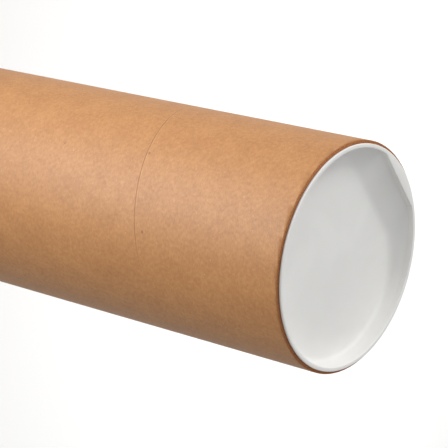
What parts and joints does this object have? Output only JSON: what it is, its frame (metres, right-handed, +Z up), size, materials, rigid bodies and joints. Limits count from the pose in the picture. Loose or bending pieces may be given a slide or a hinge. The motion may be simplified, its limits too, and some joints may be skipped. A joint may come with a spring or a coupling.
{
  "type": "cardboard mailing tube",
  "caption": "Round spiral-wound kraft tube for posting rolled papers, closed by white push-in end plugs with a flat finger ledge.",
  "frame": {"origin": "centre of the bottom plug's outer face, which is what the tube stands on", "axes": "+Z up along the tube's axis; +X towards the plugs' finger ledges"},
  "size_m": [0.1588, 0.1586, 0.6138],
  "materials": {
    "kraft_board": "brown kraft paper, wound in a spiral, faint sheen",
    "plug_plastic": "moulded white polyethylene, satin, slightly translucent"
  },
  "bodies": {
    "tube_body": {"tube": "kraft_board"},
    "top_plug_body": {"top_end_plug": "plug_plastic"},
    "bottom_plug_body": {"bottom_end_plug": "plug_plastic"}
  },
  "joints": [
    {"name": "top_plug_pull", "type": "slide", "parent": "tube_body", "child": "top_plug_body", "axis": [0, 0, 1], "range_m": [0, 0.04]},
    {"name": "bottom_plug_pull", "type": "slide", "parent": "tube_body", "child": "bottom_plug_body", "axis": [0, 0, -1], "range_m": [0, 0.04]}
  ]
}
